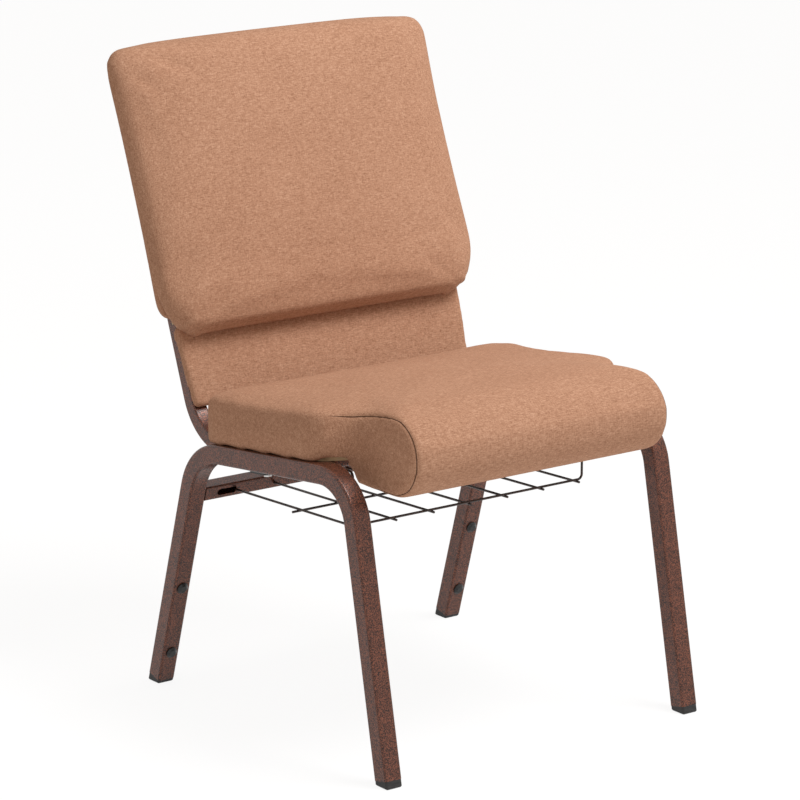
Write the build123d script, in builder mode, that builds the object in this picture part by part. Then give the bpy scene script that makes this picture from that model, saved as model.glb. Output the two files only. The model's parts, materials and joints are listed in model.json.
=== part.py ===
"""Guest chair: bent square-tube side frames, reclined uprights, upholstered seat and back, wire book rack.

Millimetres, +Z up, the chair faces -Y and X runs across it. The origin is on the floor, under the middle of the
chair's box. The left side is -X.
"""

import os
from math import cos, radians, sin, sqrt, tan

from build123d import *

os.makedirs("parts", exist_ok=True)

# Side frames: one square tube bent into front leg, seat rail and rear leg
FRAME_WIDTH = 501.0
TUBE = 25.0
TUBE_WALL = 1.5
TUBE_CORNER = 3.0
FRONT_FOOT_Y = -311.4
FRONT_RAKE = 11.5
REAR_FOOT_Y = 195.1
REAR_RAKE = 16.3
RAIL_HEIGHT = 348.4
RAIL_PITCH = 6.3
FRONT_BEND = 62.0
REAR_BEND = 80.0
FOOT_LIFT = 8.0

# Uprights and cross tubes: a lighter square tube
LIGHT_TUBE = 20.0
LIGHT_CORNER = 2.5
UPRIGHT_GAP = 5.5
UPRIGHT_DROP = 1.0
UPRIGHT_SETBACK = 38.0
UPRIGHT_BEND = 76.0
UPRIGHT_TOP = 330.0
SPACER_LENGTH = 40.0
SPACER_PLACES = (-113.0, 12.0)

# Cross tubes under the seat, by their place along the rails
FRONT_CROSS_PLACE = -121.0
REAR_CROSS_PLACE = 27.0
REAR_CROSS_HEIGHT = 277.0
SLOT_LENGTH = 30.0
SLOT_WIDTH = 9.0
SLOT_INSET = 33.0

# Book rack wires
WIRE = 3.2
WIRE_TOUCH = 0.05
RACK_SIDE_GAP = 23.0
RACK_WIRES = 7
RACK_FRONT_Y = -162.0
RACK_MID_Y = -33.9
RACK_REAR_HEIGHT = 272.5
RACK_FRONT_HEIGHT = 284.0
RACK_STUB = 3.0
MID_WIRE_STUB = 8.0
RACK_BEND = 6.5

# Seat: a board in a padded cover with a rolled front, narrower at the front than at the rear
SEAT_REAR_Y = 81.1
SEAT_REAR_INSET = 3.5
SEAT_FRONT_INSET = 48.5
SEAT_TAPER_REAR_Y = -140.0
SEAT_TAPER_FRONT_Y = -222.0
SEAT_TOP_PITCH = 7.3
SEAT_CROWN = 12.0
SEAT_EDGE_SOFT = 10.0
SEAT_REAR_SOFT = 15.0
SEAT_FRONT_CORNER = 6.0
SEAT_REAR_CORNER = 22.0
ROLL_RADIUS = 53.0
ROLL_Y = -263.9
ROLL_HEIGHT = 402.0
ROLL_REAR_Y = -216.0
ROLL_RISE_Y = -188.0
ROLL_STEPS = 14
SEAT_BOARD = 12.0
SEAT_BOARD_INSET = 9.0
DUST_COVER = 0.8
DUST_COVER_MARGIN = 3.0

# Back: datum on the front plane of the uprights, at the crease between the two pads
RECLINE = 20.7
BACK_Y = 169.6
BACK_Z = 470.0
BACK_BOARD = 9.0
BACK_BOARD_EDGE = 9.0
BACK_BOARD_BOTTOM = -76.0
BACK_BOARD_TOP = 350.0
PAD_INSET = 12.5
PAD_WAIST = 3.0
PAD_TOP = 378.5
PAD_DEPTH = 61.5
PAD_LEAN = 1.7
PAD_CROWN = 8.0
PAD_NOSE = 85.0
PAD_NOSE_RADIUS = 96.0
PAD_TOP_SOFT = 25.0
PAD_EDGE_SOFT = 18.0
PAD_CORNER = 26.0
REAR_PAD_DEPTH = 28.2
REAR_PAD_BOTTOM = 16.0
REAR_PAD_SOFT = 22.0
LUMBAR_TOP_INSET = 24.5
LUMBAR_BOTTOM_INSET = 31.5
LUMBAR_BOTTOM = -80.0
LUMBAR_DEPTH = 12.0
LUMBAR_CROWN = 3.0
LUMBAR_SOFT = 4.0
LUMBAR_CORNER = 6.0
SOFT_GAP = 0.3
SOFT_STEPS = 4
CROWN_STEPS = (0.35, 0.65, 0.9)

# Screws and tee nuts that hold the two boards
SCREW = 6.0
SCREW_HEAD = 12.0
SCREW_HEAD_HEIGHT = 3.5
SCREW_CLEARANCE = 0.3
SCREW_REACH = 8.0
NUT_BARREL = 8.5
NUT_FLANGE = 18.0
NUT_FLANGE_THICK = 1.5
NUT_CLEARANCE = 0.2
SEAT_SCREW_INSET = 60.0
BACK_SCREW_PLACES = (60.0, 290.0)

# Glides and stacking bumpers
GLIDE_UNDERSIZE = 0.6
GLIDE_PLUG = 18.0
GLIDE_PLUG_CLEARANCE = 0.15
GLIDE_SOFT = 1.5
BUMPER = 15.5
BUMPER_HEIGHT = 4.5
BUMPER_RIM = 1.5
BUMPER_TIP = 9.0
BUMPER_STEM = 6.0
BUMPER_STEM_LENGTH = 7.0
BUMPER_CLEARANCE = 0.1
BUMPER_HEIGHTS = {"upper": 144.0, "lower": 48.5}

# Ganging link that swings out from under the left rail, and the stud that takes the next chair's link
LINK_THICK = 3.0
LINK_WIDTH = 14.0
LINK_PLACE = -53.0
LINK_REACH = 27.0
LINK_GAP = 0.3
LINK_EYE = 8.6
RIVET = 6.0
RIVET_RUN = 0.07
RIVET_HEAD = 10.0
RIVET_HEAD_HEIGHT = 2.0
STUD = 8.0
STUD_LENGTH = 8.0
STUD_TIP = 1.0
RIVET_HOLE_CLEARANCE = 0.05

# Worked out from the sizes above
SIDES = {"left": -1, "right": 1}
pitch_tan = tan(radians(RAIL_PITCH))
pitch_sin = sin(radians(RAIL_PITCH))
pitch_cos = cos(radians(RAIL_PITCH))
lean_sin = sin(radians(RECLINE))
lean_cos = cos(radians(RECLINE))
rail_x = (FRAME_WIDTH - TUBE) / 2
frame_inner_x = FRAME_WIDTH / 2 - TUBE
upright_x = frame_inner_x - UPRIGHT_GAP - LIGHT_TUBE / 2
upright_inner_x = upright_x - LIGHT_TUBE / 2
seat_rear_half = FRAME_WIDTH / 2 - SEAT_REAR_INSET
seat_front_half = FRAME_WIDTH / 2 - SEAT_FRONT_INSET
seat_screw_x = upright_inner_x - SEAT_SCREW_INSET
pad_half = FRAME_WIDTH / 2 - PAD_INSET
lumbar_top_half = FRAME_WIDTH / 2 - LUMBAR_TOP_INSET
lumbar_bottom_half = FRAME_WIDTH / 2 - LUMBAR_BOTTOM_INSET
rail_half_rise = TUBE / 2 / pitch_cos
light_drop = LIGHT_TUBE / 2 / pitch_cos

seat_plane = Plane(
    origin=(0, 0, RAIL_HEIGHT + rail_half_rise),
    x_dir=(1, 0, 0),
    z_dir=(0, pitch_sin, pitch_cos),
)
rail_under = seat_plane.offset(-TUBE)
roll_plane = Plane(
    origin=(0, ROLL_Y, ROLL_HEIGHT),
    x_dir=(1, 0, 0),
    z_dir=(0, sin(radians(SEAT_TOP_PITCH)), cos(radians(SEAT_TOP_PITCH))),
)
back_plane = Plane(
    origin=(0, BACK_Y, BACK_Z),
    x_dir=(1, 0, 0),
    z_dir=(0, -lean_cos, lean_sin),
)


def rail_top(y):
    """Height of the rails' top at y, which is where the seat rests."""
    return RAIL_HEIGHT + rail_half_rise - pitch_tan * y


def leg_point(foot_y, rake, height):
    """Point (y, z) on a leg's centre line; a positive rake leans the leg back towards its top."""
    return foot_y + tan(radians(rake)) * height, height


def leg_corner(foot_y, rake):
    """Point (y, z) where a leg's centre line meets the rail's."""
    z = (RAIL_HEIGHT - pitch_tan * foot_y) / (1 + pitch_tan * tan(radians(rake)))
    return leg_point(foot_y, rake, z)


def side_plane(base, x=0.0, along=0.0, above=0.0):
    """Plane facing +X at x, whose first axis runs along the base plane and whose second one stands on it."""
    origin = base.origin + Vector(x, 0, 0) + base.y_dir * along + base.z_dir * above
    return Plane(origin=origin, x_dir=base.y_dir, z_dir=(1, 0, 0))


def tube_section(plane, size, corner):
    """Square tube's wall as a sketch on the plane."""
    with BuildSketch(plane) as section:
        RectangleRounded(size, size, corner)
        RectangleRounded(
            size - 2 * TUBE_WALL,
            size - 2 * TUBE_WALL,
            corner - TUBE_WALL,
            mode=Mode.SUBTRACT,
        )
    return section.sketch


def save(piece, name):
    """Label a finished piece and write its file."""
    piece.part.label = name
    export_step(piece.part, f"parts/{name}.step")


# Planes on the legs
def foot_plane(side, foot_y, rake):
    """Square-cut lower end of a leg, looking down along the leg."""
    y, z = leg_point(foot_y, rake, FOOT_LIFT)
    down = (0, -sin(radians(rake)), -cos(radians(rake)))
    return Plane(origin=(side * rail_x, y, z), x_dir=(1, 0, 0), z_dir=down)


def rear_leg_front(x, height):
    """Front face of a rear leg at a height, looking forward."""
    lean = radians(REAR_RAKE)
    y, z = leg_point(REAR_FOOT_Y, -REAR_RAKE, height)
    forward = Vector(0, -cos(lean), -sin(lean))
    return Plane(origin=Vector(x, y, z) + forward * (TUBE / 2), x_dir=(1, 0, 0), z_dir=forward)


# Side frames
def side_frame(side):
    """Bent tube with holes for its bumpers and for the rivet or stud under its rail."""
    with BuildPart() as frame:
        with BuildLine(Plane.YZ.offset(side * rail_x)) as path:
            FilletPolyline(
                leg_point(FRONT_FOOT_Y, FRONT_RAKE, FOOT_LIFT),
                leg_corner(FRONT_FOOT_Y, FRONT_RAKE),
                leg_corner(REAR_FOOT_Y, -REAR_RAKE),
                leg_point(REAR_FOOT_Y, -REAR_RAKE, FOOT_LIFT),
                radius=(FRONT_BEND, REAR_BEND),
            )
        start = Plane(origin=path.line @ 0, x_dir=(1, 0, 0), z_dir=path.line % 0)
        sweep(sections=tube_section(start, TUBE, TUBE_CORNER), path=path.line)
        for height in BUMPER_HEIGHTS.values():
            with BuildSketch(rear_leg_front(side * rail_x, height)):
                Circle(BUMPER_STEM / 2 + BUMPER_CLEARANCE)
            extrude(amount=-2 * TUBE_WALL, mode=Mode.SUBTRACT)
        with BuildSketch(rail_under):
            with Locations((side * rail_x, LINK_PLACE)):
                Circle(RIVET / 2 + RIVET_HOLE_CLEARANCE)
        extrude(amount=2 * TUBE_WALL, mode=Mode.SUBTRACT)
    return frame


for side_name, side in SIDES.items():
    save(side_frame(side), f"{side_name}_side_frame")


# Back uprights
def upright_path(side):
    """Centre line of an upright: along the rail, just under its top, then up behind the back."""
    run_height = RAIL_HEIGHT + rail_half_rise - light_drop - UPRIGHT_DROP
    behind_y = BACK_Y + LIGHT_TUBE / 2 * lean_cos
    behind_z = BACK_Z - LIGHT_TUBE / 2 * lean_sin
    up = (run_height - pitch_tan * behind_y - behind_z) / (lean_cos + pitch_tan * lean_sin)
    front_y = ROLL_RISE_Y + UPRIGHT_SETBACK
    with BuildLine(Plane.YZ.offset(side * upright_x)) as path:
        FilletPolyline(
            (front_y, run_height - pitch_tan * front_y),
            (behind_y + up * lean_sin, behind_z + up * lean_cos),
            (behind_y + UPRIGHT_TOP * lean_sin, behind_z + UPRIGHT_TOP * lean_cos),
            radius=UPRIGHT_BEND,
        )
    return path.line


for side_name, side in SIDES.items():
    with BuildPart() as upright:
        line = upright_path(side)
        start = Plane(origin=line @ 0, x_dir=(1, 0, 0), z_dir=line % 0)
        sweep(sections=tube_section(start, LIGHT_TUBE, LIGHT_CORNER), path=line)
        with BuildSketch(back_plane):
            with Locations([(side * upright_x, place) for place in BACK_SCREW_PLACES]):
                Circle(SCREW / 2 + SCREW_CLEARANCE)
        extrude(amount=-LIGHT_TUBE, mode=Mode.SUBTRACT)
    save(upright, f"{side_name}_back_upright")

# Spacers welded between each rail and the upright beside it
with BuildPart() as frame_spacers:
    with BuildSketch(seat_plane.offset(-TUBE_CORNER)):
        with Locations(
            [
                (side * (frame_inner_x - UPRIGHT_GAP / 2), place)
                for side in SIDES.values()
                for place in SPACER_PLACES
            ]
        ):
            Rectangle(UPRIGHT_GAP, SPACER_LENGTH)
    extrude(amount=-(LIGHT_TUBE - 2 * TUBE_CORNER))
save(frame_spacers, "frame_spacers")

# Cross tubes under the seat, butted between the uprights
CROSS_PLACES = {"front_seat_cross_tube": FRONT_CROSS_PLACE, "rear_seat_cross_tube": REAR_CROSS_PLACE}
for cross_name, place in CROSS_PLACES.items():
    with BuildPart() as cross:
        end = side_plane(seat_plane, -upright_inner_x, place, -LIGHT_TUBE / 2)
        extrude(tube_section(end, LIGHT_TUBE, LIGHT_CORNER), amount=2 * upright_inner_x)
        with BuildSketch(seat_plane):
            with Locations([(side * seat_screw_x, place) for side in SIDES.values()]):
                Circle(SCREW / 2 + SCREW_CLEARANCE)
        extrude(amount=-LIGHT_TUBE, mode=Mode.SUBTRACT)
    save(cross, cross_name)

# Rear cross tube between the rear legs, flush with their front faces
cross_front = rear_leg_front(0, REAR_CROSS_HEIGHT)
with BuildPart() as rear_cross_tube:
    end = side_plane(cross_front, -frame_inner_x, 0, -LIGHT_TUBE / 2)
    extrude(tube_section(end, LIGHT_TUBE, LIGHT_CORNER), amount=2 * frame_inner_x)
    with BuildSketch(cross_front):
        with Locations([(side * (frame_inner_x - SLOT_INSET), 0) for side in SIDES.values()]):
            SlotOverall(SLOT_LENGTH, SLOT_WIDTH)
    extrude(amount=-2 * TUBE_WALL, mode=Mode.SUBTRACT)
save(rear_cross_tube, "rear_cross_tube")


# Book rack
def rack_height(y):
    """Height of the long wires' centre at y."""
    slope = (RACK_FRONT_HEIGHT - RACK_REAR_HEIGHT) / (RACK_FRONT_Y - cross_front.origin.Y)
    return RACK_REAR_HEIGHT + slope * (y - cross_front.origin.Y)


rack_half = upright_inner_x - RACK_SIDE_GAP
rack_pitch = 2 * rack_half / (RACK_WIRES - 1)
wire_step = WIRE + WIRE_TOUCH
with BuildPart() as rack_long_wires:
    front_y = RACK_FRONT_Y - RACK_STUB
    start = Vector(0, front_y, rack_height(front_y))
    stop = Vector(0, cross_front.origin.Y, RACK_REAR_HEIGHT)
    with BuildSketch(Plane(origin=start, x_dir=(1, 0, 0), z_dir=stop - start)):
        with GridLocations(rack_pitch, 0, RACK_WIRES, 1):
            Circle(WIRE / 2)
    extrude(amount=(stop - start).length + LIGHT_TUBE / 2)
    split(bisect_by=cross_front, keep=Keep.TOP)
save(rack_long_wires, "rack_long_wires")

with BuildPart() as rack_mid_wire:
    mid_end = rack_half + MID_WIRE_STUB
    with BuildSketch(
        Plane(origin=(-mid_end, RACK_MID_Y, rack_height(RACK_MID_Y) - wire_step), z_dir=(1, 0, 0))
    ):
        Circle(WIRE / 2)
    extrude(amount=2 * mid_end)
save(rack_mid_wire, "rack_mid_wire")


def hanger(x):
    """Points of one hanger: back under the front cross tube, forward, then down to the rack's front."""
    under = LIGHT_TUBE + WIRE / 2 + WIRE_TOUCH
    front_place = (RACK_FRONT_Y + under * pitch_sin) / pitch_cos
    weld = seat_plane.from_local_coords((x, FRONT_CROSS_PLACE + LIGHT_TUBE / 2, -under))
    turn = seat_plane.from_local_coords((x, front_place, -under))
    return [weld, turn, Vector(x, RACK_FRONT_Y, rack_height(RACK_FRONT_Y) + wire_step)]


hanger_x = rack_half + RACK_BEND
with BuildPart() as rack_front_wire:
    with BuildLine() as path:
        FilletPolyline(*hanger(-hanger_x), *reversed(hanger(hanger_x)), radius=RACK_BEND)
    with BuildSketch(Plane(origin=path.line @ 0, z_dir=path.line % 0)):
        Circle(WIRE / 2)
    sweep(path=path.line)
save(rack_front_wire, "rack_front_wire")


# Seat
def seat_plan(inset=0.0):
    """Half of the seat's outline in plan, mirrored: wide at the rear, drawn in to the narrower front."""
    rear = seat_rear_half - inset
    front = seat_front_half - inset
    middle = ((rear + front) / 2, (SEAT_TAPER_REAR_Y + SEAT_TAPER_FRONT_Y) / 2)
    front_y = ROLL_Y - ROLL_RADIUS - SEAT_CROWN
    with BuildSketch(Plane.XY) as plan:
        with BuildLine():
            Line((0, SEAT_REAR_Y - inset), (rear, SEAT_REAR_Y - inset))
            Line((rear, SEAT_REAR_Y - inset), (rear, SEAT_TAPER_REAR_Y))
            TangentArc((rear, SEAT_TAPER_REAR_Y), middle, tangent=(0, -1))
            TangentArc((front, SEAT_TAPER_FRONT_Y), middle, tangent=(0, 1))
            Line((front, SEAT_TAPER_FRONT_Y), (front, front_y))
            Line((front, front_y), (0, front_y))
            mirror(about=Plane.YZ)
        make_face()
    return plan.sketch


def seat_section(height, front, rear, inset, scale=1.0):
    """Seat's outline at a height over the roll's centre, drawn in at its sides and scaled about its middle."""
    reach = (SEAT_REAR_Y - ROLL_Y) / cos(radians(SEAT_TOP_PITCH))
    middle = reach / 2
    bends = [middle + (y - ROLL_Y - middle) * scale for y in (SEAT_TAPER_REAR_Y, SEAT_TAPER_FRONT_Y)]
    rear_half = (seat_rear_half - inset) * scale
    front_half = (seat_front_half - inset) * scale
    turn = ((rear_half + front_half) / 2, (bends[0] + bends[1]) / 2)
    with BuildSketch(roll_plane.offset(height)) as section:
        with BuildLine():
            Line((-rear_half, rear), (rear_half, rear))
            Line((-front_half, front), (front_half, front))
            for side in SIDES.values():
                Line((side * rear_half, rear), (side * rear_half, bends[0]))
                TangentArc(
                    (side * rear_half, bends[0]),
                    (side * turn[0], turn[1]),
                    tangent=(0, -1),
                )
                TangentArc(
                    (side * front_half, bends[1]),
                    (side * turn[0], turn[1]),
                    tangent=(0, 1),
                )
                Line((side * front_half, bends[1]), (side * front_half, front))
        make_face()
        fillet(section.vertices().group_by(Axis.Y)[0], SEAT_FRONT_CORNER)
        fillet(section.vertices().group_by(Axis.Y)[-1], SEAT_REAR_CORNER)
    return section.sketch


def rounded(soft, below_top):
    """How far a softly rounded edge is drawn in at a depth below the top."""
    return soft - sqrt(soft**2 - (soft - min(below_top, soft)) ** 2)


def seat_sections():
    """Outlines up the rolled front, round the soft top edge and over the crown."""
    reach = (SEAT_REAR_Y - ROLL_Y) / cos(radians(SEAT_TOP_PITCH))
    sections = []
    for step in range(ROLL_STEPS):
        angle = radians(180 * step / (ROLL_STEPS - 1))
        height = -ROLL_RADIUS * cos(angle)
        below_top = ROLL_RADIUS - height
        sections.append(
            seat_section(
                height,
                -ROLL_RADIUS * sin(angle),
                reach - rounded(SEAT_REAR_SOFT, below_top),
                rounded(SEAT_EDGE_SOFT, below_top),
            )
        )
    for rise in CROWN_STEPS:
        scale = sqrt(1 - rise)
        rear = reach / 2 + (reach / 2 - SEAT_REAR_SOFT) * scale
        sections.append(
            seat_section(
                ROLL_RADIUS + SEAT_CROWN * rise,
                reach / 2 * (1 - scale),
                rear,
                SEAT_EDGE_SOFT,
                scale,
            )
        )
    return sections


seat_top = ROLL_HEIGHT + 2 * ROLL_RADIUS
seat_holes = [(side * seat_screw_x, place) for side in SIDES.values() for place in CROSS_PLACES.values()]


def seat_block(gap=0.0):
    """Seat board before its holes: the seat's plan drawn in, cut off at the middle of the front roll."""
    with BuildPart() as block:
        extrude(seat_plan(SEAT_BOARD_INSET - gap), amount=seat_top)
        split(bisect_by=Plane.XZ.offset(-ROLL_Y + gap), keep=Keep.BOTTOM)
        split(bisect_by=seat_plane, keep=Keep.TOP)
        split(bisect_by=seat_plane.offset(SEAT_BOARD + gap), keep=Keep.BOTTOM)
    return block.part


with BuildPart() as seat_board:
    add(seat_block())
    with BuildSketch(seat_plane):
        with Locations(seat_holes):
            Circle(NUT_BARREL / 2 + NUT_CLEARANCE)
    extrude(amount=SEAT_BOARD, mode=Mode.SUBTRACT)
    with BuildSketch(seat_plane.offset(SEAT_BOARD)):
        with Locations(seat_holes):
            Circle(NUT_FLANGE / 2 + NUT_CLEARANCE)
    extrude(amount=-NUT_FLANGE_THICK, mode=Mode.SUBTRACT)
save(seat_board, "seat_board")

with BuildPart() as seat_cushion:
    loft(sections=seat_sections(), ruled=True)
    roll_low = ROLL_HEIGHT - ROLL_RADIUS
    behind = SEAT_REAR_Y + ROLL_RADIUS
    with BuildSketch(Plane.YZ):
        Polygon(
            (ROLL_Y, roll_low),
            (ROLL_REAR_Y, roll_low),
            (ROLL_RISE_Y, rail_top(ROLL_RISE_Y) + SOFT_GAP),
            (behind, rail_top(behind) + SOFT_GAP),
            (behind, 0),
            (ROLL_Y, 0),
            align=None,
        )
    extrude(amount=FRAME_WIDTH, both=True, mode=Mode.SUBTRACT)
    add(seat_block(SOFT_GAP), mode=Mode.SUBTRACT)
save(seat_cushion, "seat_cushion")

with BuildPart() as seat_dust_cover:
    cover_front = FRONT_CROSS_PLACE + LIGHT_TUBE / 2 + DUST_COVER_MARGIN
    cover_rear = REAR_CROSS_PLACE - LIGHT_TUBE / 2 - DUST_COVER_MARGIN
    with BuildSketch(seat_plane):
        with Locations((0, (cover_front + cover_rear) / 2)):
            Rectangle(2 * (upright_inner_x - DUST_COVER_MARGIN), cover_rear - cover_front)
    extrude(amount=-DUST_COVER)
save(seat_dust_cover, "seat_dust_cover")


# Screws and tee nuts, all on planes whose axis points from the screw's head to its nut
def screws(plane, places, grip):
    """Machine screws whose heads sit under a tube on the plane, with the tube's far side at the grip."""
    with BuildPart() as group:
        with BuildSketch(plane):
            with Locations(places):
                Circle(SCREW_HEAD / 2)
        extrude(amount=-SCREW_HEAD_HEIGHT)
        with BuildSketch(plane):
            with Locations(places):
                Circle(SCREW / 2)
        extrude(amount=grip + SCREW_REACH)
    return group


def tee_nuts(plane, places, board):
    """Nuts pressed into a board from its far face: a barrel in the board and a flange let into the face."""
    with BuildPart() as group:
        with BuildSketch(plane):
            with Locations(places):
                Circle(NUT_BARREL / 2)
        extrude(amount=board)
        with BuildSketch(plane.offset(board)):
            with Locations(places):
                Circle(NUT_FLANGE / 2)
        extrude(amount=-NUT_FLANGE_THICK)
        with BuildSketch(plane):
            with Locations(places):
                Circle(SCREW / 2 + NUT_CLEARANCE)
        extrude(amount=board, mode=Mode.SUBTRACT)
    return group


back_holes = [(side * upright_x, place) for side in SIDES.values() for place in BACK_SCREW_PLACES]
save(screws(seat_plane.offset(-LIGHT_TUBE), seat_holes, LIGHT_TUBE), "seat_screws")
save(tee_nuts(seat_plane, seat_holes, SEAT_BOARD), "seat_tee_nuts")
save(screws(back_plane.offset(-LIGHT_TUBE), back_holes, LIGHT_TUBE), "back_screws")
save(tee_nuts(back_plane, back_holes, BACK_BOARD), "back_tee_nuts")


# Back
def back_block(gap=0.0):
    """Back board before its holes: narrower behind the lumbar pad than behind the upper pad."""
    edge = BACK_BOARD_EDGE + PAD_WAIST - gap
    spans = [
        (BACK_BOARD_BOTTOM - gap, BACK_BOARD_TOP + gap, lumbar_bottom_half - edge),
        (REAR_PAD_BOTTOM - gap, BACK_BOARD_TOP + gap, pad_half - edge),
    ]
    with BuildPart() as block:
        with BuildSketch(back_plane):
            for low, high, half in spans:
                with Locations((0, (low + high) / 2)):
                    Rectangle(2 * half, high - low)
        extrude(amount=BACK_BOARD + gap)
    return block.part


def pad_section(depth, low, high, half, low_half=None, corner=PAD_CORNER, lean=0.0):
    """Pad's outline at a depth in front of the uprights: rounded corners and sides drawn in at the waist."""
    low_half = low_half or half
    waist = (half + low_half) / 2 - PAD_WAIST
    tilt = radians(RECLINE + lean)
    plane = Plane(
        origin=back_plane.origin + back_plane.z_dir * depth,
        x_dir=(1, 0, 0),
        z_dir=(0, -cos(tilt), sin(tilt)),
    )
    with BuildSketch(plane) as section:
        with BuildLine():
            Line((-low_half, low), (low_half, low))
            Line((-half, high), (half, high))
            for side in SIDES.values():
                ThreePointArc(
                    (side * low_half, low),
                    (side * waist, (low + high) / 2),
                    (side * half, high),
                )
        make_face()
        fillet(section.vertices(), min(corner, (high - low) / 4))
    return section.sketch


def upper_pad_sections():
    """Outlines from the uprights' plane to the pad's edge, then round its soft front and over the crown."""
    sections = []
    straight = PAD_DEPTH - PAD_EDGE_SOFT
    soft_angles = [90 * (step + 1) / (SOFT_STEPS + 1) for step in range(SOFT_STEPS)]
    depths = [straight * step / SOFT_STEPS for step in range(SOFT_STEPS + 1)]
    depths += [straight + PAD_EDGE_SOFT * sin(radians(angle)) for angle in soft_angles]
    for depth in depths:
        below = PAD_DEPTH - depth
        nose = PAD_NOSE - sqrt(PAD_NOSE_RADIUS**2 - (PAD_NOSE_RADIUS - below) ** 2)
        high = PAD_TOP - rounded(PAD_TOP_SOFT, below)
        half = pad_half - rounded(PAD_EDGE_SOFT, below)
        sections.append(pad_section(depth, nose, high, half, lean=PAD_LEAN * min(depth / straight, 1)))
    centre = (PAD_NOSE + PAD_TOP - PAD_TOP_SOFT) / 2
    for rise in CROWN_STEPS:
        scale = sqrt(1 - rise)
        reach = (centre - PAD_NOSE) * scale
        half = (pad_half - PAD_EDGE_SOFT) * scale
        depth = PAD_DEPTH + PAD_CROWN * rise
        sections.append(pad_section(depth, centre - reach, centre + reach, half, lean=PAD_LEAN))
    return sections


def rear_pad_sections():
    """Outlines from the uprights' front plane back to the soft rear face."""
    sections = []
    for step in range(SOFT_STEPS + 2):
        share = sin(radians(90 * step / (SOFT_STEPS + 1)))
        depth = REAR_PAD_DEPTH - REAR_PAD_SOFT + REAR_PAD_SOFT * share if step else 0
        inset = rounded(REAR_PAD_SOFT, REAR_PAD_DEPTH - depth)
        low = REAR_PAD_BOTTOM + inset
        sections.append(pad_section(-depth, low, PAD_TOP - inset, pad_half - inset))
    return sections


def lumbar_sections():
    """Outlines of the thin lower pad, with a soft edge and a slight crown."""
    high = PAD_NOSE - sqrt(PAD_NOSE_RADIUS**2 - (PAD_NOSE_RADIUS - PAD_DEPTH) ** 2) - SOFT_GAP
    halves = (lumbar_top_half, lumbar_bottom_half)
    sections = [pad_section(0, LUMBAR_BOTTOM, high, *halves, LUMBAR_CORNER)]
    for step in range(SOFT_STEPS + 1):
        depth = LUMBAR_DEPTH - LUMBAR_SOFT * (1 - sin(radians(90 * step / SOFT_STEPS)))
        inset = rounded(LUMBAR_SOFT, LUMBAR_DEPTH - depth)
        drawn_in = [half - inset for half in halves]
        sections.append(pad_section(depth, LUMBAR_BOTTOM + inset, high - inset, *drawn_in, LUMBAR_CORNER))
    centre = (high + LUMBAR_BOTTOM) / 2
    for rise in CROWN_STEPS:
        scale = sqrt(1 - rise)
        reach = (high - centre - LUMBAR_SOFT) * scale
        drawn_in = [(half - LUMBAR_SOFT) * scale for half in halves]
        depth = LUMBAR_DEPTH + LUMBAR_CROWN * rise
        sections.append(pad_section(depth, centre - reach, centre + reach, *drawn_in, LUMBAR_CORNER))
    return sections


with BuildPart() as back_board:
    add(back_block())
    with BuildSketch(back_plane):
        with Locations(back_holes):
            Circle(NUT_BARREL / 2 + NUT_CLEARANCE)
    extrude(amount=BACK_BOARD, mode=Mode.SUBTRACT)
    with BuildSketch(back_plane.offset(BACK_BOARD)):
        with Locations(back_holes):
            Circle(NUT_FLANGE / 2 + NUT_CLEARANCE)
    extrude(amount=-NUT_FLANGE_THICK, mode=Mode.SUBTRACT)
save(back_board, "back_board")

with BuildPart() as back_upper_pad:
    loft(sections=upper_pad_sections(), ruled=True)
    add(back_block(SOFT_GAP), mode=Mode.SUBTRACT)
save(back_upper_pad, "back_upper_pad")

with BuildPart() as back_lumbar_pad:
    loft(sections=lumbar_sections(), ruled=True)
    add(back_block(SOFT_GAP), mode=Mode.SUBTRACT)
save(back_lumbar_pad, "back_lumbar_pad")

with BuildPart() as back_rear_pad:
    loft(sections=rear_pad_sections(), ruled=True)
    channel = LIGHT_TUBE + 2 * SOFT_GAP
    with BuildSketch(back_plane):
        for side in SIDES.values():
            with Locations((side * upright_x, UPRIGHT_TOP + SOFT_GAP)):
                Rectangle(channel, UPRIGHT_TOP + REAR_PAD_DEPTH, align=(Align.CENTER, Align.MAX))
    extrude(amount=-LIGHT_TUBE - SOFT_GAP, mode=Mode.SUBTRACT)
    with BuildSketch(back_plane):
        with Locations(back_holes):
            Circle(SCREW_HEAD / 2 + SOFT_GAP)
    extrude(amount=-LIGHT_TUBE - SCREW_HEAD_HEIGHT - SOFT_GAP, mode=Mode.SUBTRACT)
save(back_rear_pad, "back_rear_pad")

# Glides: a plug in the tube's end and a wedge that meets the floor flat
FEET = {"front": (FRONT_FOOT_Y, FRONT_RAKE), "rear": (REAR_FOOT_Y, -REAR_RAKE)}
plug = TUBE - 2 * TUBE_WALL - 2 * GLIDE_PLUG_CLEARANCE
for side_name, side in SIDES.items():
    for end_name, (foot_y, rake) in FEET.items():
        with BuildPart() as glide:
            with BuildSketch(foot_plane(side, foot_y, rake)):
                RectangleRounded(TUBE - GLIDE_UNDERSIZE, TUBE - GLIDE_UNDERSIZE, TUBE_CORNER)
            extrude(amount=TUBE)
            split(bisect_by=Plane.XY, keep=Keep.TOP)
            chamfer(glide.faces().sort_by(Axis.Z)[0].edges(), GLIDE_SOFT)
            with BuildSketch(foot_plane(side, foot_y, rake)):
                RectangleRounded(plug, plug, TUBE_CORNER - TUBE_WALL)
            extrude(amount=-GLIDE_PLUG)
        save(glide, f"{side_name}_{end_name}_glide")

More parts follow.
